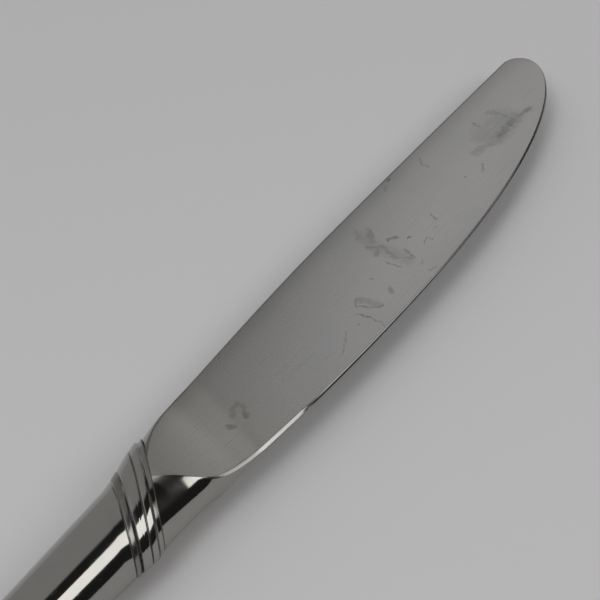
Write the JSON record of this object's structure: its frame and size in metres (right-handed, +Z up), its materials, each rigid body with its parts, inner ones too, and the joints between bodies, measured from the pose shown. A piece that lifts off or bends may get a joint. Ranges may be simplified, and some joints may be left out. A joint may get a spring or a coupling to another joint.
{
  "type": "dinner knife",
  "caption": "Table knife with a broad round-nosed blade, a forged neck and a round hollow handle that starts in an oblique ribbed band.",
  "frame": {"origin": "middle of the knife's box, on the surface it lies on", "axes": "+X along the knife towards the tip, +Y in the blade's plane towards the spine, +Z up from the blade's flat"},
  "size_m": [0.2368, 0.0194, 0.0122],
  "materials": {
    "blade_steel": "fine satin, lightly scratched and water stained",
    "handle_steel": "mirror polish with fine wear scratches",
    "braze_alloy": "as cast",
    "cement": "rough"
  },
  "bodies": {
    "root": {"blade": "blade_steel", "upper_handle_shell": "handle_steel", "lower_handle_shell": "handle_steel", "seam_braze": "braze_alloy", "bolster_braze": "braze_alloy", "cement_core": "cement"}
  },
  "joints": []
}
